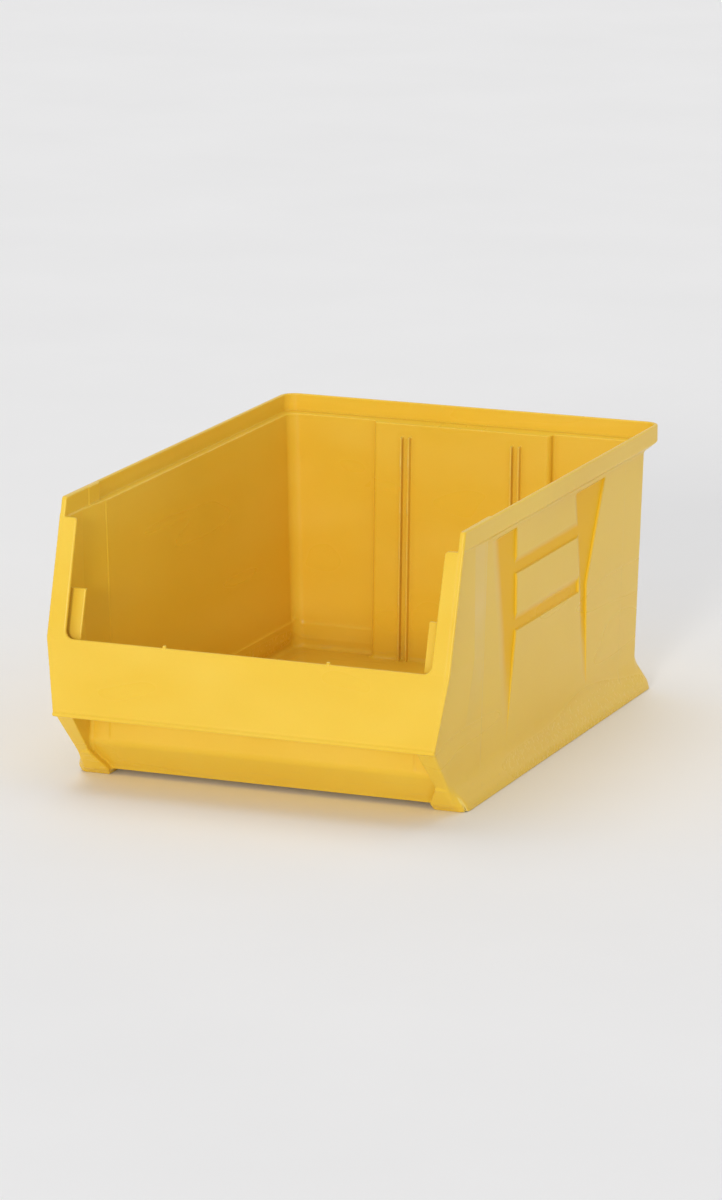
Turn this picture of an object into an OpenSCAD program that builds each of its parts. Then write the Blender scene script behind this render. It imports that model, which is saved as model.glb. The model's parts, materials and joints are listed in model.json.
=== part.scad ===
// Stackable hopper-front storage bin, moulded in one piece.
// Origin: centre of the footprint, on the ground. +Z is up and the open front faces -Y.
// The sub-parts are the regions of the moulding. They meet face to face and never overlap.

/* [Overall] */
// Outside width across the rim
width = 419; // [400:1:440]
// Outside depth from the front band to the rear rim
depth = 606; // [580:1:640]
// Outside height from the feet to the rim
height = 279; // [270:1:300]
// Thickness of the moulded walls
wall = 4; // [3.5:0.5:4.5]

/* [Front] */
// Height of the front band's lower edge
band_z = 76.5; // [72:0.5:84]
// Height of the lip at the top of the front band
lip_z = 148; // [135:1:160]
// How far the lip leans back from the band's lower edge
band_lean = 11; // [6:1:14]
// How far the side flanges lean back per millimetre of height
flange_slope = 0.296; // [0.25:0.002:0.32]
// Width of each side flange
flange_w = 20; // [16:1:22]
// How far the lower front wall stands behind the band
lower_setback = 48; // [40:1:52]
// Half-distance between the wings that carry the band
wing_x = 180; // [176:1:184]
// Clear gap for a slide-in window behind each flange
window_gap = 8; // [6:0.5:9]
// Height where the window guides end
guide_top_z = 193; // [170:1:220]

/* [Sides] */
// Depth of the wide mouth before the side walls step in
mouth_depth = 131; // [120:1:136]
// How far the side walls spread per millimetre of height
side_draft = 0.0296; // [0.026:0.0002:0.032]
// Half-distance between the inner edges of the two upright channels
channel_edge_y = 88; // [80:1:92]
// Width of each upright channel at its top
channel_top_w = 70; // [50:1:74]
// Width of each upright channel at its foot
channel_foot_w = 6; // [4:1:16]
// Height of each cross channel
cross_h = 15; // [10:1:18]
// Depth of the channels
channel_depth = 2.2; // [1.5:0.1:2.8]

/* [Back] */
// Half-width of the panel that stands into the bin
panel_x = 98; // [90:0.5:110]
// How far the panel stands into the bin at the floor
panel_depth = 14; // [10:0.5:16]
// Distance from the centre line to each divider slot
slot_x = 61; // [50:1:76]
// Width of a divider slot
slot_w = 6.2; // [5:0.1:8]

/* [Rim and feet] */
// Height of the upright rim above the stacking ledge
rim_h = 18; // [14:1:20]
// How far the foot stands in from the rim's outer face
foot_inset = 5; // [5:0.5:6]
// Height at which the foot flares out of the wall
flare_z = 26; // [24:1:30]
// Clearance between the floor and the ground
floor_z = 6; // [5:0.5:8]
// Width of each front foot
foot_w = 34.5; // [28:0.5:40]

/* [Hidden] */

yellow = [0.96, 0.79, 0.22];
shade_yellow = [0.90, 0.70, 0.16];
deep_yellow = [0.84, 0.62, 0.12];

// Outer limits
half_w = width / 2;
front_y = -depth / 2;
back_y = depth / 2;
far = 2 * depth;

// Levels
floor_top_z = floor_z + wall;
rim_z = height - rim_h;
rim_root_z = rim_z + 1;
ledge_rise = 7;
wall_top_z = rim_z - ledge_rise;
rib_z = band_z - wall;
foot_edge_z = 8;
skirt_root_z = flare_z - 2 * wall;
cap_h = 6;

// Side walls
side_base_x = half_w - 16;
mouth_y = front_y + mouth_depth;
cheek_band_x = half_w - 13;
cheek_lip_x = half_w - 3.5;
cheek_top_x = half_w - 3;
rim_in_x = half_w - wall;
foot_x = half_w - foot_inset;
runner_x = foot_x - foot_w;
channel_mid_z = (lip_z + band_z) / 2 + 38;
channel_full_z = 120;
channel_foot_z = 34;
upper_cross_z = 203;
lower_cross_z = 145;

// Back wall
back_base_y = back_y - 19.5;
back_draft = 0.0177;
panel_draft = 0.0328;
sill_z = 30;
rib_t = 2.2;
rib_reach = 6;

// Front. Each line runs from its lowest point up, as [y, z].
skin = wall + 0.2;
bead = 1.5;
band_y = front_y + bead;
lip_y = band_y + band_lean;
lower_line = [[front_y + 74, floor_z], [front_y + lower_setback, 39], [front_y + lower_setback, rib_z]];
buttress_line = [[front_y + 71, 0], [front_y + 51, 24.4], [front_y + 4.5, rib_z]];
foot_plate = 5;
pocket_z = 30;
band_half_x = half_w - 11;
band_top_x = half_w - 0.5;
guide_reach = 31.5;
guide_t = 3.5;
guide_foot_z = lip_z - 20;
nub_x = 85;
nub_r = 4;
nub_h = 2.5;

// Outer half-width of the side wall at height z
function side_x(z) = side_base_x + side_draft * z;
// Outer face of the back wall, and inner face of its panel, at height z
function back_out(z) = back_base_y + back_draft * z;
function back_in(z) = back_out(z) - wall;
function panel_in(z) = back_base_y - wall - panel_depth + panel_draft * z;
// y at height z on the straight line from a to b
function on_line(a, b, z) = a[0] + slope(a, b) * (z - a[1]);
function slope(a, b) = (b[0] - a[0]) / (b[1] - a[1]);
// How far behind a sloping front face its inner face lies, along y
function setback(a, b) = wall * sqrt(1 + pow(slope(a, b), 2));
function behind(a, b, z) = on_line(a, b, z) + setback(a, b);
// Height at which the inner faces of two front faces that join at b meet
function meet_z(a, b, c) = b[1] + (setback(b, c) - setback(a, b)) / (slope(a, b) - slope(b, c));
function band_in(z) = band_y + band_lean * (z - band_z) / (lip_z - band_z) + skin;
function flange_y(z) = lip_y + flange_slope * (z - lip_z);
function flange_in(z) = flange_y(z) + skin;
function foot_front(z) = on_line(buttress_line[0], buttress_line[1], z);
// Outer half-width of the mouth cheeks from the flare up to the lip
function cheek_x(z) = z < band_z
    ? side_x(flare_z) + (cheek_band_x - side_x(flare_z)) * (z - flare_z) / (band_z - flare_z)
    : cheek_band_x + (cheek_lip_x - cheek_band_x) * (z - band_z) / (lip_z - band_z);

knee_z = meet_z(lower_line[0], lower_line[1], lower_line[2]);
knee_y = behind(lower_line[0], lower_line[1], knee_z);
lower_in_y = behind(lower_line[0], lower_line[1], floor_z);
upper_in_y = behind(lower_line[1], lower_line[2], rib_z);
// Inner face of the lower front wall
lower_in_line = [[lower_in_y, floor_z], [knee_y, knee_z], [upper_in_y, rib_z]];
pocket_back_y = behind(lower_line[0], lower_line[1], pocket_z);
// Inner face of the wings' front plates
wing_in_foot_y = behind(buttress_line[1], buttress_line[2], pocket_z);
wing_in_y = behind(buttress_line[1], buttress_line[2], rib_z);

// Outline in x and z, drawn out along y
module along_y(from, to) {
    translate([0, to, 0]) rotate([90, 0, 0]) linear_extrude(to - from) children();
}

// Outline in y and z, drawn out along x
module along_x(from, to) {
    translate([from, 0, 0]) rotate([90, 0, 90]) linear_extrude(to - from) children();
}

module to_left() {
    mirror([1, 0, 0]) children();
}

// One upright channel: wide at the rim and almost a point at the foot
module channel_outline() {
    foot = channel_edge_y + 14;
    polygon([
        [-channel_edge_y - channel_top_w, wall_top_z],
        [-channel_edge_y, wall_top_z],
        [-channel_edge_y, channel_mid_z],
        [-foot, channel_foot_z],
        [-foot - channel_foot_w, channel_foot_z],
        [-channel_edge_y - channel_top_w / 2, channel_mid_z]
    ]);
}

module cross_outline(z) {
    translate([-channel_edge_y, z]) square([2 * channel_edge_y, cross_h]);
}

// All channels of the right side. Their floor fades out at the foot.
module channels() {
    intersection() {
        along_x(0, half_w) union() {
            channel_outline();
            mirror([1, 0]) channel_outline();
            cross_outline(upper_cross_z);
            cross_outline(lower_cross_z);
        }
        along_y(-far, far) polygon([
            [side_x(channel_foot_z), channel_foot_z],
            [half_w, channel_foot_z],
            [half_w, wall_top_z - cap_h],
            [side_x(wall_top_z - cap_h) - channel_depth, wall_top_z - cap_h],
            [side_x(channel_full_z) - channel_depth, channel_full_z]
        ]);
    }
}

// The space above the ledge, inside the rim, that takes the feet of the bin above
module stacking_recess() {
    translate([-rim_in_x, -far, rim_z]) cube([2 * rim_in_x, far + back_y - wall, far]);
}

module floor_panel() {
    color(shade_yellow) difference() {
        intersection() {
            along_y(-far, far) polygon([
                [-side_x(floor_z) + wall, floor_z],
                [side_x(floor_z) - wall, floor_z],
                [side_x(floor_top_z) - wall, floor_top_z],
                [-side_x(floor_top_z) + wall, floor_top_z]
            ]);
            along_x(-half_w, half_w) polygon([
                [lower_in_y, floor_z],
                [back_in(floor_z), floor_z],
                [back_in(floor_top_z), floor_top_z],
                [behind(lower_line[0], lower_line[1], floor_top_z), floor_top_z]
            ]);
        }
        along_x(-panel_x, panel_x) polygon([
            [panel_in(0), 0], [far, 0], [far, sill_z], [panel_in(sill_z), sill_z]
        ]);
    }
}

module right_side_wall() {
    color(shade_yellow) difference() {
        intersection() {
            along_y(-far, far) polygon([
                [side_x(floor_z) - wall, floor_z],
                [side_x(floor_z), floor_z],
                [side_x(wall_top_z), wall_top_z],
                [side_x(wall_top_z) - wall, wall_top_z]
            ]);
            along_x(0, half_w) polygon([
                [mouth_y, floor_z], [back_in(floor_z), floor_z],
                [back_in(wall_top_z), wall_top_z], [mouth_y, wall_top_z]
            ]);
        }
        channels();
    }
}

module left_side_wall() {
    to_left() right_side_wall();
}

// The wider stretch of side wall at the mouth, with the web that joins it to the side wall
module right_mouth_cheek() {
    color(shade_yellow) difference() {
        mouth_cheek_blank();
        stacking_recess();
    }
}

module mouth_cheek_blank() {
    union() {
        intersection() {
            along_y(-far, far) polygon([
                [side_x(floor_z) - wall, floor_z],
                [side_x(floor_z), floor_z],
                [side_x(flare_z), flare_z],
                [cheek_band_x, band_z],
                [cheek_lip_x, lip_z],
                [cheek_top_x, wall_top_z],
                [half_w, rim_z],
                [half_w, rim_root_z],
                [cheek_top_x - wall, rim_root_z],
                [cheek_top_x - wall, wall_top_z],
                [cheek_lip_x - wall, lip_z],
                [cheek_band_x - wall, band_z],
                [side_x(flare_z) - wall, flare_z]
            ]);
            along_x(0, half_w) polygon([
                [lower_in_y, floor_z],
                [pocket_back_y, pocket_z],
                [wing_in_foot_y, pocket_z],
                [wing_in_y, rib_z],
                [wing_in_y, band_z],
                [band_in(band_z), band_z],
                [band_in(lip_z), lip_z],
                [flange_in(rim_root_z), rim_root_z],
                [mouth_y, rim_root_z],
                [mouth_y, floor_z]
            ]);
        }
        along_y(mouth_y - wall, mouth_y) polygon([
            [side_x(floor_z) - wall, floor_z],
            [side_x(floor_z), floor_z],
            [side_x(flare_z), flare_z],
            [cheek_band_x, band_z],
            [cheek_lip_x, lip_z],
            [cheek_top_x, wall_top_z],
            [half_w, rim_z],
            [half_w, rim_root_z],
            [side_x(wall_top_z) - wall, rim_root_z],
            [side_x(wall_top_z) - wall, wall_top_z]
        ]);
    }
}

module left_mouth_cheek() {
    to_left() right_mouth_cheek();
}

module back_wall_right() {
    color(deep_yellow) intersection() {
        along_x(panel_x, half_w) polygon([
            [back_in(floor_z), floor_z], [back_out(floor_z), floor_z],
            [back_out(wall_top_z), wall_top_z], [back_in(wall_top_z), wall_top_z]
        ]);
        along_y(0, far) polygon([
            [0, floor_z], [side_x(floor_z), floor_z], [side_x(wall_top_z), wall_top_z], [0, wall_top_z]
        ]);
    }
}

module back_wall_left() {
    to_left() back_wall_right();
}

// The strip of back wall under the panel's outer recess
module back_wall_sill() {
    web_x = panel_x - wall;
    color(deep_yellow) along_x(-web_x, web_x) polygon([
        [back_in(floor_z), floor_z], [back_out(floor_z), floor_z],
        [back_out(sill_z), sill_z], [back_in(sill_z), sill_z]
    ]);
}

// The panel stands into the bin and leaves a shallow recess behind it
module back_wall_panel() {
    web_x = panel_x - wall;
    color(deep_yellow) difference() {
        along_x(-panel_x, panel_x) polygon([
            [panel_in(floor_z), floor_z], [back_out(floor_z), floor_z],
            [back_out(wall_top_z), wall_top_z], [panel_in(wall_top_z), wall_top_z]
        ]);
        along_x(-web_x, web_x) polygon([
            [panel_in(sill_z) + wall, sill_z], [far, sill_z],
            [far, wall_top_z - cap_h], [panel_in(wall_top_z - cap_h) + wall, wall_top_z - cap_h]
        ]);
        along_x(-web_x, web_x) polygon([
            [panel_in(floor_z) + wall, floor_z], [far, floor_z], [far, sill_z - wall],
            [panel_in(sill_z - wall) + wall, sill_z - wall]
        ]);
        back_wall_sill();
    }
}

module lower_front_wall() {
    color(yellow) along_x(-wing_x, wing_x) polygon([
        lower_line[0], lower_line[1], lower_line[2],
        lower_in_line[2], lower_in_line[1], lower_in_line[0]
    ]);
}

// Wing that carries the end of the band ahead of the lower wall: a front plate, an inner side plate and
// a narrow pocket behind them that is open to the bin
module right_front_buttress() {
    color(yellow) difference() {
        intersection() {
            along_x(wing_x, half_w) polygon([
                [foot_front(floor_z), floor_z], buttress_line[1], buttress_line[2],
                lower_in_line[2], lower_in_line[1], lower_in_line[0]
            ]);
            along_y(-far, far) polygon([
                [0, floor_z], [side_x(floor_z), floor_z], [side_x(flare_z), flare_z],
                [cheek_x(rib_z), rib_z], [0, rib_z]
            ]);
        }
        along_x(wing_x + wall, half_w) polygon([
            [wing_in_foot_y, pocket_z], [0, pocket_z], [0, rib_z], [wing_in_y, rib_z]
        ]);
    }
}

module left_front_buttress() {
    to_left() right_front_buttress();
}

module front_band() {
    color(yellow) intersection() {
        along_x(-half_w, half_w) polygon([
            [band_y, band_z], [lip_y, lip_z], [lip_y + skin, lip_z], [band_y + skin, band_z]
        ]);
        along_y(-far, far) polygon([
            [-band_half_x, band_z], [band_half_x, band_z], [band_top_x, lip_z], [-band_top_x, lip_z]
        ]);
    }
}

// Shelf from the lower wall out to the band. Its front edge is a small bead along the band's foot.
module lip_shelf() {
    color(yellow) union() {
        along_x(-band_half_x, band_half_x) polygon([
            [front_y, rib_z], [wing_in_y, rib_z], [wing_in_y, band_z], [front_y, band_z]
        ]);
        along_x(-wing_x - wall, wing_x + wall) polygon([
            [front_y, rib_z], [upper_in_y, rib_z], [upper_in_y, band_z], [front_y, band_z]
        ]);
    }
}

module right_front_flange() {
    color(yellow) difference() {
        intersection() {
            along_x(0, half_w) polygon([
                [flange_y(lip_z), lip_z], [flange_in(lip_z), lip_z],
                [flange_in(rim_root_z), rim_root_z], [flange_y(rim_root_z), rim_root_z]
            ]);
            along_y(-far, 0) polygon([
                [band_top_x - flange_w, lip_z], [band_top_x, lip_z],
                [half_w, rim_z], [half_w, rim_root_z], [half_w - flange_w + 1, rim_root_z]
            ]);
        }
        stacking_recess();
    }
}

module left_front_flange() {
    to_left() right_front_flange();
}

// The step on which the feet of the bin above rest
module right_stacking_ledge() {
    in_x = side_x(wall_top_z) - wall;
    color(shade_yellow) difference() {
        along_y(mouth_y, back_in(wall_top_z)) polygon([
            [in_x, wall_top_z], [side_x(wall_top_z), wall_top_z], [half_w, rim_z],
            [half_w, rim_root_z], [in_x, rim_root_z]
        ]);
        stacking_recess();
    }
}

module left_stacking_ledge() {
    to_left() right_stacking_ledge();
}

module back_stacking_ledge() {
    root_x = side_x(wall_top_z);
    color(deep_yellow) difference() {
        intersection() {
            along_x(-half_w, half_w) polygon([
                [back_in(wall_top_z), wall_top_z], [back_out(wall_top_z), wall_top_z],
                [back_y, rim_z], [back_y, rim_root_z], [back_in(wall_top_z), rim_root_z]
            ]);
            along_y(0, far) polygon([
                [-root_x, wall_top_z], [root_x, wall_top_z], [half_w, rim_z],
                [half_w, rim_root_z], [-half_w, rim_root_z], [-half_w, rim_z]
            ]);
        }
        stacking_recess();
    }
}

module right_rim() {
    color(yellow) along_x(rim_in_x, half_w) polygon([
        [flange_y(rim_root_z), rim_root_z], [back_y, rim_root_z], [back_y, height], [flange_y(height), height]
    ]);
}

module left_rim() {
    to_left() right_rim();
}

module back_rim() {
    color(yellow) along_x(-rim_in_x, rim_in_x) polygon([
        [back_y - wall, rim_root_z], [back_y, rim_root_z], [back_y, height], [back_y - wall, height]
    ]);
}

// The foot flares out of the side wall, so that it nests inside the rim of the bin below
module right_foot_skirt() {
    color(shade_yellow) intersection() {
        along_y(-far, far) polygon([
            [side_x(flare_z), flare_z], [foot_x, foot_edge_z], [foot_x, 0],
            [foot_x - wall, 0], [foot_x - wall, foot_edge_z - 1.5], [side_x(skirt_root_z), skirt_root_z]
        ]);
        along_x(0, half_w) polygon([
            [foot_front(0) + foot_plate, 0], [back_y - foot_inset, 0], [back_y - foot_inset, foot_edge_z],
            [back_out(flare_z), flare_z], [foot_front(flare_z) + foot_plate, flare_z]
        ]);
    }
}

module left_foot_skirt() {
    to_left() right_foot_skirt();
}

module back_foot_skirt() {
    foot_y = back_y - foot_inset;
    color(deep_yellow) intersection() {
        along_x(-half_w, half_w) polygon([
            [back_out(flare_z), flare_z], [foot_y, foot_edge_z], [foot_y, 0],
            [foot_y - wall, 0], [foot_y - wall, foot_edge_z - 1.5], [back_out(skirt_root_z), skirt_root_z]
        ]);
        along_y(0, far) polygon([
            [-foot_x + wall, 0], [foot_x - wall, 0], [foot_x - wall, foot_edge_z - 1.5],
            [side_x(skirt_root_z), skirt_root_z], [side_x(flare_z), flare_z],
            [-side_x(flare_z), flare_z], [-side_x(skirt_root_z), skirt_root_z],
            [-foot_x + wall, foot_edge_z - 1.5]
        ]);
    }
}

module right_front_foot() {
    color(yellow) union() {
        intersection() {
            along_x(runner_x, half_w) polygon([
                [foot_front(0), 0], [foot_front(0) + foot_plate, 0],
                [foot_front(flare_z) + foot_plate, flare_z], [foot_front(flare_z), flare_z]
            ]);
            along_y(-far, 0) polygon([
                [runner_x, 0], [foot_x, 0], [foot_x, foot_edge_z], [side_x(flare_z), flare_z],
                [side_x(floor_z), floor_z], [runner_x, floor_z]
            ]);
        }
        intersection() {
            along_x(runner_x, wing_x) polygon([
                [foot_front(floor_z - 1), floor_z - 1], [foot_front(floor_z - 1) + foot_plate, floor_z - 1],
                [foot_front(floor_z) + foot_plate, floor_z], lower_line[0],
                [on_line(lower_line[0], lower_line[1], flare_z), flare_z], [foot_front(flare_z), flare_z]
            ]);
            along_y(-far, 0) polygon([
                [runner_x, 0], [wing_x, 0], [wing_x, flare_z], [runner_x, foot_edge_z]
            ]);
        }
    }
}

module left_front_foot() {
    to_left() right_front_foot();
}

// Inner rib of each foot, under the floor
module right_foot_runner() {
    color(shade_yellow) along_x(runner_x, runner_x + wall) polygon([
        [foot_front(0) + foot_plate, 0], [panel_in(0) - wall, 0],
        [panel_in(0) - wall, floor_z], [foot_front(floor_z) + foot_plate, floor_z]
    ]);
}

module left_foot_runner() {
    to_left() right_foot_runner();
}

// Rib behind each flange that holds the edge of a slide-in window
module right_window_guide() {
    front = skin + window_gap;
    color(yellow) intersection() {
        along_x(half_w - guide_reach, half_w) polygon([
            [flange_y(guide_foot_z) + front, guide_foot_z],
            [flange_y(guide_foot_z) + front + guide_t, guide_foot_z],
            [flange_y(guide_top_z) + front + guide_t, guide_top_z],
            [flange_y(guide_top_z) + front, guide_top_z]
        ]);
        along_y(-far, 0) polygon([
            [0, guide_foot_z], [cheek_x(guide_foot_z) - wall, guide_foot_z], [cheek_lip_x - wall, lip_z],
            [cheek_top_x - wall, wall_top_z], [0, wall_top_z]
        ]);
    }
}

module left_window_guide() {
    to_left() right_window_guide();
}

// Two ribs, one on each side of a slot for a divider
module slot_ribs() {
    for (centre = [-slot_x, slot_x]) {
        for (start = [centre - slot_w / 2 - rib_t, centre + slot_w / 2]) {
            along_x(start, start + rib_t) children();
        }
    }
}

module rear_divider_ribs() {
    top = wall_top_z - cap_h;
    color(deep_yellow) slot_ribs() polygon([
        [panel_in(floor_top_z) - rib_reach, floor_top_z], [panel_in(floor_top_z), floor_top_z],
        [panel_in(top), top], [panel_in(top) - rib_reach, top]
    ]);
}

module front_divider_ribs() {
    top = lip_z - 10;
    color(yellow) slot_ribs() polygon([
        [band_in(band_z), band_z], [band_in(band_z) + rib_reach, band_z],
        [band_in(top) + rib_reach, top], [band_in(top), top]
    ]);
}

module lip_locating_nubs() {
    color(yellow) for (x = [-nub_x, nub_x]) {
        translate([x, lip_y + skin / 2, lip_z]) cylinder(h = nub_h, r = skin / 2, $fn = 48);
    }
}

floor_panel();
left_side_wall();
right_side_wall();
left_mouth_cheek();
right_mouth_cheek();
back_wall_left();
back_wall_right();
back_wall_sill();
back_wall_panel();
lower_front_wall();
left_front_buttress();
right_front_buttress();
front_band();
lip_shelf();
left_front_flange();
right_front_flange();
left_stacking_ledge();
right_stacking_ledge();
back_stacking_ledge();
left_rim();
right_rim();
back_rim();
left_foot_skirt();
right_foot_skirt();
back_foot_skirt();
left_front_foot();
right_front_foot();
left_foot_runner();
right_foot_runner();
left_window_guide();
right_window_guide();
rear_divider_ribs();
front_divider_ribs();
lip_locating_nubs();
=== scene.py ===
import json
import math

import bpy
import numpy as np
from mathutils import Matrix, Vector


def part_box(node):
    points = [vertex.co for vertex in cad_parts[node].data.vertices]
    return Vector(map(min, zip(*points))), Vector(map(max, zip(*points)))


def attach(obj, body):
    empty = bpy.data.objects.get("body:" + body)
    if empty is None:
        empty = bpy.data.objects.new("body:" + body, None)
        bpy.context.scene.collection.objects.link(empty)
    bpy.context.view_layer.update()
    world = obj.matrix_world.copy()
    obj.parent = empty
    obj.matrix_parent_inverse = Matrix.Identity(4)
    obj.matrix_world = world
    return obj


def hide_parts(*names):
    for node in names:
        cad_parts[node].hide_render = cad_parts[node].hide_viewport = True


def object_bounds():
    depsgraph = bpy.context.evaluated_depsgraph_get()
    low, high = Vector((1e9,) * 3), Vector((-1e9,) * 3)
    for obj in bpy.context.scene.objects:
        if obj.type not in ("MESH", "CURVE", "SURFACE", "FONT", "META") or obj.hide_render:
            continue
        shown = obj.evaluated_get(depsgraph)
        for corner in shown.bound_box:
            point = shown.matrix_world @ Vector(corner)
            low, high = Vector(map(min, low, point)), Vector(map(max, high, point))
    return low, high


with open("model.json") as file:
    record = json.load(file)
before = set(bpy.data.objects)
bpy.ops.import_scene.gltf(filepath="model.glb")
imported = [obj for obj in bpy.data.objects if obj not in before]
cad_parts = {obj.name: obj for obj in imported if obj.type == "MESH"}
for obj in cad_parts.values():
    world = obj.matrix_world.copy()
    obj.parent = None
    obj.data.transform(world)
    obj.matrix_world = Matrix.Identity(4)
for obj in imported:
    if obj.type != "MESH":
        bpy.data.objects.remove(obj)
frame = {"nodes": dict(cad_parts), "record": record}
cad_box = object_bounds()

# The bin is one moulding, so its looks are one continuous skin with rounded edges and fillets.
# The skin is the zero surface of a solid described by signed distances: negative inside the
# plastic, positive outside. Lengths in this part are millimetres, and the left half mirrors the right.

MM = 1000.0              # millimetres in a metre


# ------------------------------------------------------------------ sizes, from the frame
def node_box(node):
    low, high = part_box(node)
    return np.array(low) * MM, np.array(high) * MM


mount_at = {m["name"]: [v * MM for v in m["pos_m"]] for m in frame["record"]["mounts"]}
box_low, box_high = (np.array(corner) * MM for corner in cad_box)
HALF_W, FRONT_Y, BACK_Y, HEIGHT = box_high[0], box_low[1], box_high[1], box_high[2]

rim_low = node_box("right_rim")[0]
side_low, side_high = node_box("right_side_wall")
cheek_high = node_box("right_mouth_cheek")[1]
back_low, back_high = node_box("back_wall_right")
panel_low, panel_high = node_box("back_wall_panel")
slot_low, slot_high = node_box("rear_divider_ribs")
floor_low, floor_high = node_box("floor_panel")
band_low, band_high = node_box("front_band")
shelf_low, shelf_high = node_box("lip_shelf")
lower_low, lower_high = node_box("lower_front_wall")
buttress_low = node_box("right_front_buttress")[0]
flange_low, flange_high = node_box("right_front_flange")
guide_low, guide_high = node_box("right_window_guide")
foot_high = node_box("right_front_foot")[1]
skirt_high = node_box("back_foot_skirt")[1]
runner_low, runner_high = node_box("right_foot_runner")
front_slot_high = node_box("front_divider_ribs")[1]
nub_high = node_box("lip_locating_nubs")[1]

RIM_IN_X = rim_low[0]
WALL = HALF_W - RIM_IN_X
SKIN = WALL + 0.2
LEDGE_Z = mount_at["stacking_ledge"][2]
WALL_TOP_Z = side_high[2]
FLOOR_Z, FLOOR_TOP_Z = floor_low[2], floor_high[2]
MOUTH_Y = cheek_high[1]
BAND_Z, LIP_Z = band_low[2], band_high[2]
BAND_Y, LIP_Y = band_low[1], flange_low[1]
BEAD_Z = shelf_low[2]
FLANGE_IN_X = flange_low[0] + 0.5
FLANGE_SLOPE = (flange_high[1] - SKIN - LIP_Y) / (flange_high[2] - LIP_Z)
FOOT_X, FOOT_Y = foot_high[0], skirt_high[1]
FLARE_Z = foot_high[2]
RUNNER_X = runner_low[0]

# Details that no box gives
CHEEK_BAND_INSET = 13.0      # how far the cheek stands in from the rim at the band's foot
CHEEK_LIP_INSET = 3.5        # and at the lip
CHEEK_TOP_INSET = 3.0        # and under the rim
CHEEK_TAPER = 46.0           # the cheek runs back into the side wall over this length
FOOT_EDGE_Z = 8.0            # where the flare turns upright
RIM_IN_MOUTH_X = HALF_W - 6.5  # inner face of the rim beside the mouth
LOWER_KNEE_Z = 39.0          # where the lower wall turns upright
WING_X = buttress_low[0]     # inner face of the wings beside the recessed lower wall
POCKET_Z = 30.0              # foot of the pocket inside each wing
CORNER_STRIP_X = 157.0       # the lower wall steps back a little beyond here
BUTTRESS_KNEE = (FRONT_Y + 51, 24.4)  # (y, z) where the wings' front edge turns steeper
CORNER_R = 16.0              # upright rear corners, outside
INNER_CORNER_R = 12.0        # and inside
EDGE_R = 1.3                 # general moulded edge
LIP_R = 2.0                  # edges round the mouth
CHANNEL_DEPTH = 2.2
CHANNEL_FOOT_Z = 34.0        # the channels fade out between these heights
CHANNEL_FULL_Z = 120.0
CHANNEL_TOP_Z = 248.0
CROSS_ZS = (203.0, 145.0)    # lower edges of the cross channels
CROSS_H = 15.0
CROSS_HALF_Y = 92.0
REAR_STEP_Y = 218.0          # where the side wall steps in a little before the rear corner
REAR_STEP = 0.8
SILL_Z = 30.0                # foot of the recess outside the back panel
SLOT_X = 61.0                # middle of each divider slot
SLOT_HALF_PITCH = 4.2        # from a slot's middle to the middle of each rib
RIB_HALF_T = 1.1
NUB_R = 2.1

# The front and rear edges of the two upright channels, as points of (z, y)
FRONT_CHANNEL = ([(28, -112), (152, -136), (256, -163)], [(28, -104), (150, -83), (250, -91)])
REAR_CHANNEL = ([(38, 121), (55, 104), (150, 90), (252, 66)], [(38, 124), (53, 122), (150, 114), (254, 160)])
FRONT_CHANNEL_FLANK = 26.0   # widths of their soft front flanks
REAR_CHANNEL_FLANK = 14.0
SHARP_FLANK = 1.5            # and of every sharp edge

# How the skin is meshed
GRID_STEP = np.array([1.2, 1.6, 1.6])
KEPT_FACES = 0.22            # share of the faces kept
ON_PLANE = 0.3               # a point this share of a step from x = 0 lies on it
SMOOTHINGS = 6               # rounds of spreading the points evenly
FLAT = 0.02                  # a point this near its neighbours' plane lies on a flat face


# ------------------------------------------------------------------ signed distances
def both(a, b, r=0.0):
    """What lies in both solids, with the edge between them rounded to radius r."""
    if not r:
        return np.maximum(a, b)
    return np.minimum(np.maximum(a, b), -r) + np.hypot(np.maximum(a + r, 0), np.maximum(b + r, 0))


def either(a, b, r=0.0):
    """What lies in either solid, with a fillet of radius r where they meet."""
    return -both(-a, -b, r)


def without(a, b, r=0.0):
    return both(a, -b, r)


def between(v, low, high):
    return np.maximum(low - v, v - high)


def ramp(z, z0, v0, z1, v1):
    """The straight line through (z0, v0) and (z1, v1)."""
    return v0 + (v1 - v0) * (z - z0) / (z1 - z0)


def bent(z, points, soft=0.0):
    """The line through points of (z, value), with its corners softened over 2 * soft of z."""
    zs, values = zip(*points)
    if not soft:
        return np.interp(z, zs, values)
    fine = np.arange(zs[0] - soft, zs[-1] + soft + 0.25, 0.25)
    softened = sum(np.interp(fine + s, zs, values) for s in np.linspace(-soft, soft, 9)) / 9
    return np.interp(z, fine, softened)


def ahead_of(y, z, points, soft=0.0):
    """Distance in front of a front face whose line through (z, y) points is given."""
    line = bent(z, points, soft)
    slope = bent(z + 0.5, points, soft) - bent(z - 0.5, points, soft)
    return (line - y) / np.hypot(1, slope)


# ------------------------------------------------------------------ the bin's faces
def side_line(z):
    return ramp(z, FLOOR_Z, side_low[0] + WALL, WALL_TOP_Z, side_high[0])


def back_line(z):
    return ramp(z, FLOOR_Z, back_low[1] + WALL, WALL_TOP_Z, back_high[1])


def panel_line(z):
    return ramp(z, FLOOR_Z, panel_low[1], slot_high[2], slot_high[1])


def cheek_line(z):
    return bent(z, [(FLARE_Z, side_line(FLARE_Z)), (BAND_Z, HALF_W - CHEEK_BAND_INSET),
                    (LIP_Z, HALF_W - CHEEK_LIP_INSET), (WALL_TOP_Z, HALF_W - CHEEK_TOP_INSET)], 3)


def flange_line(z):
    return LIP_Y + FLANGE_SLOPE * (z - LIP_Z)


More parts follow.
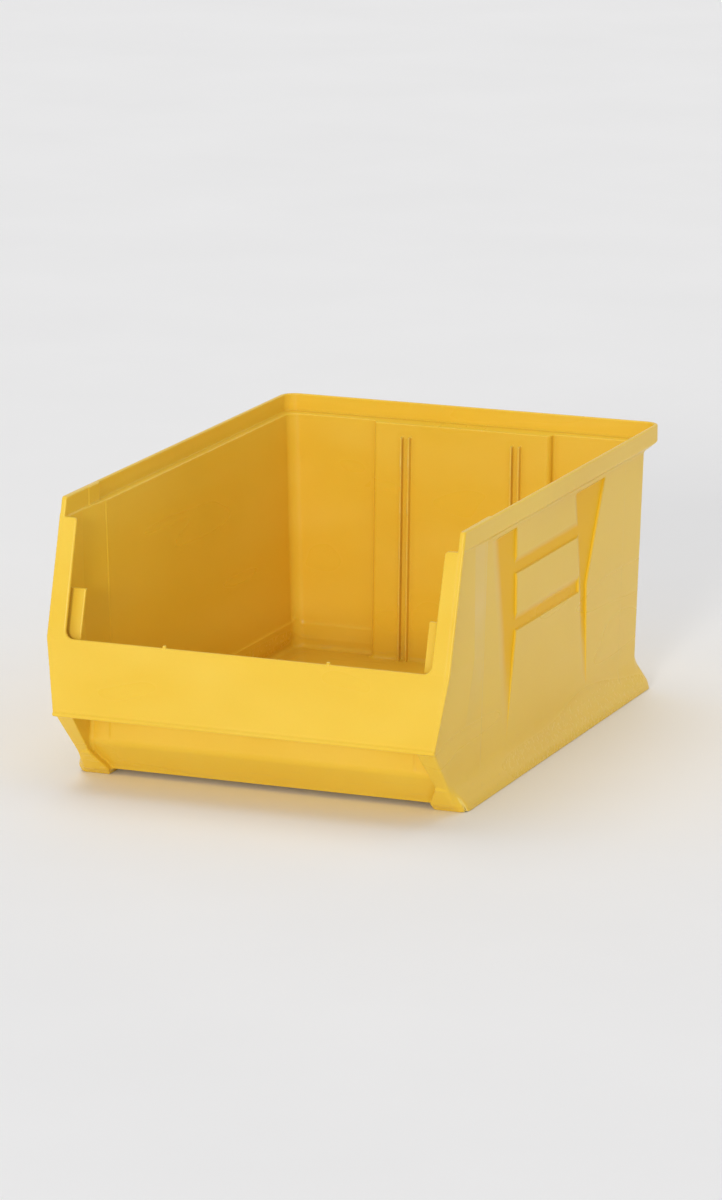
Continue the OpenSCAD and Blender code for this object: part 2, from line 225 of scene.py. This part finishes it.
BUTTRESS = [(0.0, FRONT_Y + 71), BUTTRESS_KNEE[::-1], (BEAD_Z - 0.3, buttress_low[1])]
BAND = [(BAND_Z + 0.7, BAND_Y), (LIP_Z, LIP_Y), (HEIGHT, flange_line(HEIGHT))]
FRONT = BUTTRESS + [(BEAD_Z + 0.3, FRONT_Y + 0.4), (BEAD_Z + 2, FRONT_Y), (BAND_Z, FRONT_Y)] + BAND
LOWER = [(FLOOR_Z, FRONT_Y + 74), (LOWER_KNEE_Z, lower_low[1]), (BEAD_Z, lower_low[1])]
LOWER_IN = [(FLOOR_Z, lower_high[1]), (LOWER_KNEE_Z + 1, shelf_high[1]), (BEAD_Z, shelf_high[1])]
BAND_IN = [(z, y + SKIN) for z, y in BAND]
WING_IN = [(POCKET_Z, BUTTRESS_KNEE[0] + 0.2), (BEAD_Z, buttress_low[1] + 1.4 * WALL)]


def front_in(x, y, z):
    """Distance in front of the cavity: the lower wall, the shelf behind the band and the wings' pockets."""
    above_shelf = both(ahead_of(y, z, BAND_IN, 1), BAND_Z - z, 2)
    pocket = both(ahead_of(y, z, WING_IN), np.maximum(WING_X + WALL - x, POCKET_Z - z), 2)
    pocket = both(pocket, z - BAND_Z - 4)
    return either(either(ahead_of(y, z, LOWER_IN, 5), above_shelf, 1.5), pocket, 0.8)


def rise(t):
    """A soft step from 0 at t = 0 to 1 at t = 1."""
    t = np.clip(t, 0, 1)
    return t * t * (3 - 2 * t)


def channel_depth(y, z):
    """How deep the side wall's outer channels are. Each has a soft front flank and a sharp rear edge."""
    full = CHANNEL_DEPTH * bent(z, [(CHANNEL_FOOT_Z, 0), (CHANNEL_FULL_Z, 1)], 4)
    full = full * rise((CHANNEL_TOP_Z + 3 - z) / 3)
    first = rise((y - bent(z, FRONT_CHANNEL[0], 6)) / FRONT_CHANNEL_FLANK)
    first = first * rise((bent(z, FRONT_CHANNEL[1], 6) - y) / SHARP_FLANK)
    last = rise((y - bent(z, REAR_CHANNEL[0], 6)) / REAR_CHANNEL_FLANK)
    last = last * rise((bent(z, REAR_CHANNEL[1], 4) - y) / SHARP_FLANK)
    depth = full * np.maximum(first, last)
    for low in CROSS_ZS:
        cross = rise((z - low) / SHARP_FLANK) * rise((low + CROSS_H + 4 - z) / 9)
        cross = cross * rise((CROSS_HALF_Y - abs(y)) / 3)
        depth = np.maximum(depth, CHANNEL_DEPTH * cross)
    return depth


def bin_field(x, y, z):
    """Signed distance from the bin's plastic at |x|, y and z, which broadcast together."""
    side = x - side_line(z)
    back = y - back_line(z)
    taper = (cheek_line(z) - side_line(z)) * np.clip((y - MOUTH_Y) / CHEEK_TAPER + 1, 0, 1)
    cheek = x - cheek_line(z) + taper

    # Outside of the basin
    cut_in = channel_depth(y, z) + REAR_STEP * rise((y - REAR_STEP_Y) / 2)
    basin = both(both(side + cut_in, back, CORNER_R), FLOOR_Z - z, 2)
    basin = either(basin, both(both(cheek, y - MOUTH_Y, 2.5), FLOOR_Z - z, 2), 1.5)
    basin = both(basin, z - LEDGE_Z - 1)
    recess = both(x - panel_high[0] + WALL, panel_line(z) + WALL - y, 3)
    recess = both(recess, between(z, SILL_Z, slot_high[2]), 2)
    basin = without(basin, recess, 1.5)

    # Rim, with a sloping underside
    run = RIM_IN_X + WALL - side_high[0]
    skew = run / (BACK_Y - back_high[1])
    rim = both(both(x - HALF_W, y - BACK_Y, CORNER_R), z - HEIGHT, EDGE_R)
    inset = both(x - HALF_W, (y - BACK_Y) * skew, 12)
    steep = (LEDGE_Z - WALL_TOP_Z) / run
    rim = both(rim, (LEDGE_Z + inset * steep - z) / math.hypot(1, steep), 1.0)
    outer = either(basin, rim, 1.5)

    # Front: trim to the faces, add the plate of the band and flanges, sink the lower wall
    front = ahead_of(y, z, FRONT, 0.8)
    outer = both(outer, front, 2.5)
    plate_x = bent(z, [(BAND_Z, shelf_high[0]), (LIP_Z, HALF_W - 0.5), (LEDGE_Z, HALF_W)], 2)
    plate = both(both(x - plate_x, front, EDGE_R), y - bent(z, BAND) - SKIN, 1.0)
    plate = both(plate, between(z, BEAD_Z, LEDGE_Z + 2), 0.5)
    outer = either(outer, plate, 0.6)
    wing = bent(z, [(FOOT_EDGE_Z, RUNNER_X), (FLARE_Z, WING_X + 1.5), (BEAD_Z, WING_X - 1.5)], 3)
    strip = 1.2 * rise((x - CORNER_STRIP_X) / 4) * rise((z - LOWER_KNEE_Z) / 8)
    sunk = both(x - wing, -ahead_of(y - strip, z, LOWER, 4), 4)
    outer = without(outer, both(sunk, z - BEAD_Z, 0.5), 1.2)

    # Cavity
    cavity = both(side + WALL, back + WALL, INNER_CORNER_R)
    cavity = either(cavity, both(cheek + WALL, y - MOUTH_Y + WALL, 1.0), 1.5)
    cavity = both(cavity, front_in(x, y, z), 3)
    cavity = without(cavity, both(x - panel_high[0], panel_line(z) - y, 5), 3)
    cavity = both(cavity, FLOOR_TOP_Z - z, 5)
    rim_in = bent(y, [(MOUTH_Y - 6, RIM_IN_MOUTH_X), (MOUTH_Y - 3, RIM_IN_X)])
    above = both(both(x - rim_in, y - BACK_Y + WALL, INNER_CORNER_R), LEDGE_Z - z, 1.0)
    cavity = either(cavity, above, 1.0)
    opening = both(x - FLANGE_IN_X - 0.01 * (z - LIP_Z), LIP_Z - z, 8)
    opening = either(opening, both(x - RIM_IN_MOUTH_X, LEDGE_Z - z), 5)
    shell = without(outer, cavity, EDGE_R)
    shell = without(shell, both(opening, y - FRONT_Y - 100), LIP_R)

    # Feet: a flared skirt round the basin, front plates and the ribs under the floor
    flare = (FLARE_Z - FOOT_EDGE_Z) / (FOOT_X - side_line(FLARE_Z))
    spread = (FOOT_X - side_line(FLARE_Z)) / (FOOT_Y - back_line(FLARE_Z))
    tilt = math.hypot(1, flare)
    ring = both(x - FOOT_X, y - FOOT_Y, CORNER_R - 2)
    slant = both(x - FOOT_X, (y - FOOT_Y) * spread, 14)
    foot_out = both(ring, (z - FOOT_EDGE_Z + flare * slant) / tilt, 3)
    foot_in = both(ring + WALL, (z - FOOT_EDGE_Z + flare * (slant + WALL)) / tilt, 2)
    foot = both(without(foot_out, foot_in), -(both(side, back, CORNER_R) + 2.5))
    foot_front = ahead_of(y, z, BUTTRESS)
    foot = both(foot, foot_front, 9)
    toe = both(both(foot_out, foot_front, 9), between(foot_front, -WALL, 1))
    toe = both(toe, np.maximum(wing - x, z - FLARE_Z), 1.0)
    runner = both(between(x, RUNNER_X, RUNNER_X + WALL), between(z, 0, FLOOR_Z + 1), 0.8)
    runner = both(runner, np.maximum(foot_front, y - runner_high[1]), 0.8)
    feet = both(np.minimum(np.minimum(foot, toe), runner), -z, 0.8)
    shell = either(shell, feet, 5)

    # Slots for accessories
    guide_y = flange_line(z) + guide_low[1] - flange_line(guide_low[2])
    guide = both(between(y, guide_y, guide_y + 3.5), between(z, guide_low[2], guide_high[2]), 1.2)
    guide = both(guide, np.maximum(guide_low[0] - x, cheek + 1), 1.2)
    shell = either(shell, guide, 1.2)
    ribs = abs(abs(x - SLOT_X) - SLOT_HALF_PITCH) - RIB_HALF_T
    reach = panel_line(FLOOR_TOP_Z) - slot_low[1]
    rear = both(ribs, np.maximum(between(y, panel_line(z) - reach, panel_line(z) + 2),
                                 between(z, FLOOR_TOP_Z - 1, slot_high[2])), 1.0)
    band_in = bent(z, BAND_IN)
    ahead = both(ribs, np.maximum(between(y, band_in - 1, band_in + reach),
                                  between(z, BAND_Z - 2, front_slot_high[2])), 1.0)
    shell = either(shell, np.minimum(rear, ahead), 1.2)
    nub = np.hypot(x - (nub_high[0] - NUB_R), y - (LIP_Y + SKIN / 2)) - NUB_R
    shell = either(shell, both(nub, between(z, LIP_Z - 2, nub_high[2]), 0.6), 0.6)
    return shell


# ------------------------------------------------------------------ from field to mesh
CORNERS = [(i, j, k) for i in (0, 1) for j in (0, 1) for k in (0, 1)]
EDGES = [(a, b) for a in range(8) for b in range(a) if bin(a ^ b).count("1") == 1]


def sample_grid(step):
    """The field of the half from x = 0 outwards, on a grid of this step."""
    low = np.array([-0.5, -3, -3]) * step + (0, FRONT_Y, 0)
    counts = np.ceil((np.array([HALF_W, BACK_Y, HEIGHT]) + 3 * step - low) / step).astype(int)
    x, y, z = (low[n] + step[n] * np.arange(counts[n], dtype=np.float32) for n in range(3))
    field = bin_field(abs(x)[:, None, None], y[None, :, None], z[None, None, :])
    return field.astype(np.float32), low


def surface_net(field, low, step):
    """Points and four-sided faces of the field's zero surface: one point in each cell it crosses."""
    inside = field < 0
    size = [n - 1 for n in field.shape]
    count = sum(inside[i:i + size[0], j:j + size[1], k:k + size[2]].astype(np.uint8) for i, j, k in CORNERS)
    cells = np.array(np.nonzero((count > 0) & (count < 8)))
    number = np.full(size, -1, np.int32)
    number[tuple(cells)] = np.arange(cells.shape[1])
    values = [field[tuple(cells + np.array(c)[:, None])] for c in CORNERS]
    total, hits = np.zeros(cells.shape), np.zeros(cells.shape[1])
    for a, b in EDGES:
        crosses = (values[a] < 0) != (values[b] < 0)
        t = np.where(crosses, values[a] / np.where(crosses, values[a] - values[b], 1), 0)
        start, along = np.array(CORNERS[a])[:, None], (np.array(CORNERS[b]) - CORNERS[a])[:, None]
        total += np.where(crosses, start + t * along, 0)
        hits += crosses
    points = low + step * (cells + total / hits).T
    faces = []
    for axis in range(3):
        u, v = (axis + 1) % 3, (axis + 2) % 3
        first = np.moveaxis(inside, axis, 0)
        edges = np.array(np.nonzero(first[:-1] != first[1:]))
        place = np.empty_like(edges)
        rest = [n for n in range(3) if n != axis]
        place[axis], place[rest[0]], place[rest[1]] = edges
        keep = (place[u] > 0) & (place[v] > 0) & (place[u] < size[u]) & (place[v] < size[v])
        place = place[:, keep]
        quad = []
        for du, dv in ((1, 1), (0, 1), (0, 0), (1, 0)):
            cell = place.copy()
            cell[u] -= du
            cell[v] -= dv
            quad.append(number[tuple(cell)])
        quad = np.array(quad).T
        solid_first = inside[tuple(place)]
        faces.append(np.where(solid_first[:, None], quad, quad[:, ::-1]))
    return points, np.concatenate(faces)


def field_slope(x, y, z, reach):
    """The field and its gradient, read over this distance."""
    here = bin_field(abs(x), y, z)
    ahead = [bin_field(abs(x + dx), y + dy, z + dz) for dx, dy, dz in reach * np.eye(3)]
    return here, (np.stack(ahead, 1) - here[:, None]) / reach


def settled(points, faces, step):
    """The points moved onto the field's zero surface, and spread evenly where it is flat."""
    for _ in range(2):
        here, slope = field_slope(*points.T, 0.05)
        move = here / np.maximum((slope ** 2).sum(1), 0.25)
        points = points - np.clip(move[:, None] * slope, -0.5 * step, 0.5 * step)
    normal = slope / np.maximum(np.linalg.norm(slope, axis=1, keepdims=True), 1e-9)
    start, end = faces.ravel(), np.roll(faces, -1, 1).ravel()
    ends = np.maximum(np.bincount(start, minlength=len(points)), 1)[:, None]
    for _ in range(SMOOTHINGS):
        middle = np.stack([np.bincount(start, points[end, n], len(points)) for n in range(3)], 1) / ends
        off = ((middle - points) * normal).sum(1, keepdims=True)
        shift = np.where(abs(off) < FLAT, 0.6 * (middle - points - off * normal), 0)
        shift[abs(points[:, 0]) < ON_PLANE * step[0], 0] = 0
        points = points + shift
    return points


def make_mesh(name, points, faces):
    mesh = bpy.data.meshes.new(name)
    mesh.vertices.add(len(points))
    mesh.vertices.foreach_set("co", np.ascontiguousarray(points, np.float32).ravel())
    mesh.loops.add(faces.size)
    mesh.loops.foreach_set("vertex_index", np.ascontiguousarray(faces, np.int32).ravel())
    mesh.polygons.add(len(faces))
    mesh.polygons.foreach_set("loop_start", np.arange(0, faces.size, faces.shape[1], dtype=np.int32))
    mesh.update(calc_edges=True)
    mesh.validate()
    return mesh


def thinned(points, faces, keep):
    """The same surface with this share of its faces, fewest where it is flat."""
    dense = bpy.data.objects.new("dense", make_mesh("dense", points, faces))
    bpy.context.scene.collection.objects.link(dense)
    thin = dense.modifiers.new("thin", "DECIMATE")
    thin.ratio = keep
    thin.use_collapse_triangulate = True
    done = dense.evaluated_get(bpy.context.evaluated_depsgraph_get()).to_mesh()
    points = np.empty(len(done.vertices) * 3, np.float32)
    done.vertices.foreach_get("co", points)
    faces = np.empty(len(done.loops), np.int32)
    done.loops.foreach_get("vertex_index", faces)
    old = dense.data
    bpy.data.objects.remove(dense)
    bpy.data.meshes.remove(old)
    return points.reshape(-1, 3), faces.reshape(-1, 3)


def mirrored(points, faces, step):
    """Both halves, joined at x = 0."""
    points = points.copy()
    points[abs(points[:, 0]) < ON_PLANE * step[0], 0] = 0
    on_plane = points[:, 0] == 0
    twin = np.where(on_plane, np.arange(len(points)), 0)
    twin[~on_plane] = len(points) + np.arange((~on_plane).sum())
    other = points[~on_plane] * (-1, 1, 1)
    return np.concatenate([points, other]), np.concatenate([faces, twin[faces][:, ::-1]])


def corner_facts(points, faces):
    """For each face corner: the surface normal, how exposed its edge is, how deep it lies in a nook and how
    deep in a side channel. They are read a little way into the face, so that a big flat face isn't shaded
    by its rounded edges."""
    corner = points[faces]
    away = corner.mean(1, keepdims=True) - corner
    length = np.maximum(np.linalg.norm(away, axis=2, keepdims=True), 1e-6)
    x, y, z = (corner + away * np.minimum(2.2 / length, 0.4)).reshape(-1, 3).T
    here, normal = field_slope(x, y, z, 0.3)
    normal /= np.maximum(np.linalg.norm(normal, axis=1, keepdims=True), 1e-9)
    right, back, up = normal.T
    behind = bin_field(abs(x - 1.6 * right), y - 1.6 * back, z - 1.6 * up)
    in_front = bin_field(abs(x + 9 * right), y + 9 * back, z + 9 * up)
    edge = np.clip(1 + (behind - here) / 1.6, 0, 1)
    nook = np.clip(1 - (in_front - here) / 9, 0, 1)
    inward = side_line(z) - abs(x)
    channel = channel_depth(y, z) / CHANNEL_DEPTH * (y > MOUTH_Y)
    edge = edge * (1 - channel * (inward < WALL + 1))
    channel = channel * (inward < CHANNEL_DEPTH + 0.4)
    return normal, {"edge": edge, "nook": nook, "channel": channel}


def build_skin():
    step = GRID_STEP * 1
    field, low = sample_grid(step)
    points, faces = surface_net(field, low, step)
    points, faces = thinned(settled(points, faces, step), faces, KEPT_FACES)
    points, faces = mirrored(points, faces, step)
    points = np.clip(points, box_low, box_high)
    normal, facts = corner_facts(points, faces)
    mesh = make_mesh("bin_moulding", points / MM, faces)
    if len(mesh.loops) == len(normal):
        mesh.shade_smooth()
        mesh.normals_split_custom_set(normal.tolist())
        for name, value in facts.items():
            layer = mesh.attributes.new(name, "FLOAT", "CORNER")
            layer.data.foreach_set("value", value.astype(np.float32))
    skin = bpy.data.objects.new("bin_moulding", mesh)
    bpy.context.scene.collection.objects.link(skin)
    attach(skin, "root")
    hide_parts(*frame["nodes"])
    return skin


# ------------------------------------------------------------------ material
class Nodes:
    """A short way to write a node tree."""

    def __init__(self, material):
        material.use_nodes = True
        self.tree = material.node_tree
        self.tree.nodes.clear()

    def add(self, kind, inputs=(), **settings):
        node = self.tree.nodes.new(kind)
        for key, value in settings.items():
            setattr(node, key, value)
        for key, value in dict(inputs).items():
            if isinstance(value, bpy.types.NodeSocket):
                self.tree.links.new(value, node.inputs[key])
            else:
                node.inputs[key].default_value = value
        return node

    def noise(self, where, scale, detail=3.0, rough=0.5):
        return self.add("ShaderNodeTexNoise", {"Vector": where, "Scale": scale, "Detail": detail,
                                               "Roughness": rough}).outputs["Fac"]

    def spread(self, value, low, high, to_low=0.0, to_high=1.0):
        return self.add("ShaderNodeMapRange", {"Value": value, "From Min": low, "From Max": high,
                                               "To Min": to_low, "To Max": to_high}).outputs["Result"]

    def math(self, operation, a, b=0.0):
        return self.add("ShaderNodeMath", {0: a, 1: b}, operation=operation).outputs[0]

    def mix(self, share, a, b, blend="MIX"):
        node = self.add("ShaderNodeMix", {"Factor": share}, data_type="RGBA", blend_type=blend)
        for slot, value in ((6, a), (7, b)):
            if isinstance(value, bpy.types.NodeSocket):
                self.tree.links.new(value, node.inputs[slot])
            else:
                node.inputs[slot].default_value = (*value, 1)
        return node.outputs[2]


TURN = (0.61, 0.37, 0.83)     # keeps the noises' cells from lining up with the walls


def plastic_material():
    material = bpy.data.materials.new("yellow_polypropylene")
    n = Nodes(material)
    upright = n.add("ShaderNodeTexCoord").outputs["Object"]
    where = n.add("ShaderNodeMapping", {"Vector": upright, "Rotation": TURN}).outputs[0]
    edge = n.add("ShaderNodeAttribute", attribute_name="edge").outputs["Fac"]
    nook = n.add("ShaderNodeAttribute", attribute_name="nook").outputs["Fac"]
    channel = n.add("ShaderNodeAttribute", attribute_name="channel").outputs["Fac"]
    cloud = n.noise(where, 5, 4)
    stretched = n.add("ShaderNodeMapping", {"Vector": upright, "Rotation": TURN,
                                            "Scale": (1.0, 0.35, 2.2)}).outputs[0]
    flow = n.noise(stretched, 9, 1, 0.4)
    speck = n.noise(where, 900, 2)
    scratch_way = n.add("ShaderNodeMapping", {"Vector": upright, "Rotation": TURN,
                                              "Scale": (30, 260, 260)}).outputs[0]
    scratch = n.noise(scratch_way, 1.0, 4, 0.65)

    colour = n.mix(n.spread(cloud, 0.3, 0.7), (0.82, 0.53, 0.042), (0.865, 0.58, 0.054))
    colour = n.mix(n.spread(flow, 0.45, 0.75, 0, 0.35), colour, (0.88, 0.62, 0.085))
    colour = n.mix(n.spread(speck, 0.35, 0.65, 0, 0.10), colour, (0.74, 0.43, 0.03))
    # Painted shade: the recessed side channels are painted a darker, deeper orange than the panels.
    colour = n.mix(n.math("MULTIPLY", channel, 0.85), colour, (0.88, 0.48, 0.006))
    # Painted highlight: exposed rounded edges are painted a lighter yellow, mottled by the cloud noise.
    painted_edge_highlight = n.math("MULTIPLY", n.spread(edge, 0.42, 0.85), n.spread(cloud, 0.35, 0.6, 0.45, 1.0))
    colour = n.mix(n.math("MULTIPLY", painted_edge_highlight, 0.65), colour, (1.0, 0.83, 0.32))
    # Painted shade: deep in nooks the colour is painted a darker orange. The same mask also makes nooks
    # rougher, as dust.
    nook_shade_and_dust = n.math("MULTIPLY", n.spread(nook, 0.15, 0.9), n.spread(flow, 0.35, 0.65, 0.35, 1.0))
    colour = n.mix(n.math("MULTIPLY", nook_shade_and_dust, 0.22), colour, (0.56, 0.33, 0.03))
    height = n.add("ShaderNodeSeparateXYZ", {"Vector": upright}).outputs["Z"]
    low_down = n.spread(height, 0.035, 0.0)
    scuffs = n.math("MULTIPLY", n.spread(scratch, 0.55, 0.72), low_down)
    colour = n.mix(n.math("MULTIPLY", scuffs, 0.45), colour, (0.62, 0.44, 0.14))

    rough = n.spread(flow, 0.3, 0.7, 0.25, 0.36)
    rough = n.math("ADD", rough, n.math("MULTIPLY", scuffs, 0.22))
    rough = n.math("ADD", rough, n.math("MULTIPLY", nook_shade_and_dust, 0.15))
    grain = n.add("ShaderNodeBump", {"Strength": 0.08, "Distance": 0.0002, "Height": n.noise(where, 1400, 2)})
    peel = n.add("ShaderNodeBump", {"Strength": 0.08, "Distance": 0.0006, "Height": n.noise(where, 95, 1),
                                    "Normal": grain.outputs[0]})
    sag = n.add("ShaderNodeBump", {"Strength": 0.25, "Distance": 0.004, "Height": n.noise(where, 7, 1),
                                   "Normal": peel.outputs[0]})
    scrape = n.add("ShaderNodeBump", {"Strength": 0.4, "Distance": 0.0003, "Height": scuffs,
                                      "Normal": sag.outputs[0]})
    gloss = n.math("MULTIPLY", n.spread(channel, 0, 1, 0.32, 0.05), n.spread(nook, 0.1, 0.8, 1.0, 0.35))
    shader = n.add("ShaderNodeBsdfPrincipled", {
        "Base Color": colour, "Roughness": rough, "Normal": scrape.outputs[0], "IOR": 1.49,
        "Subsurface Weight": 0.12, "Subsurface Radius": (1.0, 0.55, 0.12), "Subsurface Scale": 0.004,
        "Specular IOR Level": gloss})
    n.add("ShaderNodeOutputMaterial", {"Surface": shader.outputs[0]})
    return material


def floor_material():
    material = bpy.data.materials.new("pale_floor")
    n = Nodes(material)
    where = n.add("ShaderNodeTexCoord").outputs["Object"]
    colour = n.mix(n.spread(n.noise(where, 3, 3), 0.3, 0.7), (0.90, 0.90, 0.90), (0.92, 0.92, 0.92))
    shader = n.add("ShaderNodeBsdfPrincipled", {"Base Color": colour, "Roughness": 0.7})
    n.add("ShaderNodeOutputMaterial", {"Surface": shader.outputs[0]})
    return material


# ------------------------------------------------------------------ stage, light and camera
CENTRE = Vector((0, 0, HEIGHT / MM / 2))
CAMERA_OFFSET = Vector((2.118, -5.166, 1.331))
VIEW_WIDTH = 0.72            # metres across the frame at the bin
FLOOR_HALF = 14.0            # half the floor's width, in metres


def make_floor():
    points = FLOOR_HALF * np.array([(-1, -1, 0), (1, -1, 0), (1, 1, 0), (-1, 1, 0)])
    floor = bpy.data.objects.new("floor", make_mesh("floor", points, np.array([[0, 1, 2, 3]])))
    floor.data.materials.append(floor_material())
    bpy.context.scene.collection.objects.link(floor)


def add_sun(name, direction, angle, strength, colour):
    light = bpy.data.lights.new(name, "SUN")
    light.angle = math.radians(angle)
    light.energy = strength
    light.color = colour
    lamp = bpy.data.objects.new(name, light)
    lamp.rotation_euler = Vector(direction).to_track_quat("-Z", "Y").to_euler()
    bpy.context.scene.collection.objects.link(lamp)


def make_light():
    add_sun("key", (-0.12, 0.966, -0.232), 10, 1.15, (1.0, 0.985, 0.96))
    add_sun("top", (0.15, -0.20, -1.0), 50, 0.75, (1.0, 1.0, 1.0))
    make_world()


def make_world():
    """A pale surround, brightest at the horizon and dimmer overhead, as under a shelf."""
    world = bpy.data.worlds.new("studio")
    bpy.context.scene.world = world
    n = Nodes(world)
    where = n.add("ShaderNodeTexCoord").outputs["Generated"]
    height = n.add("ShaderNodeSeparateXYZ", {"Vector": where}).outputs["Z"]
    colour = n.mix(n.spread(height, 0.0, 0.7), (0.96, 0.95, 0.94), (0.54, 0.54, 0.55))
    back = n.add("ShaderNodeBackground", {"Color": colour, "Strength": 0.94})
    n.add("ShaderNodeOutputWorld", {"Surface": back.outputs[0]})


def make_camera():
    lens = bpy.data.cameras.new("camera")
    lens.sensor_fit = "HORIZONTAL"
    lens.sensor_width = 36
    lens.lens = lens.sensor_width * CAMERA_OFFSET.length / VIEW_WIDTH
    lens.clip_end = 50
    camera = bpy.data.objects.new("camera", lens)
    camera.location = CENTRE + CAMERA_OFFSET
    camera.rotation_euler = (-CAMERA_OFFSET).to_track_quat("-Z", "Y").to_euler()
    bpy.context.scene.collection.objects.link(camera)
    bpy.context.scene.camera = camera


make_camera()
moulding = build_skin()
moulding.data.materials.append(plastic_material())
make_floor()
make_light()
bpy.context.scene.view_settings.view_transform = "Standard"
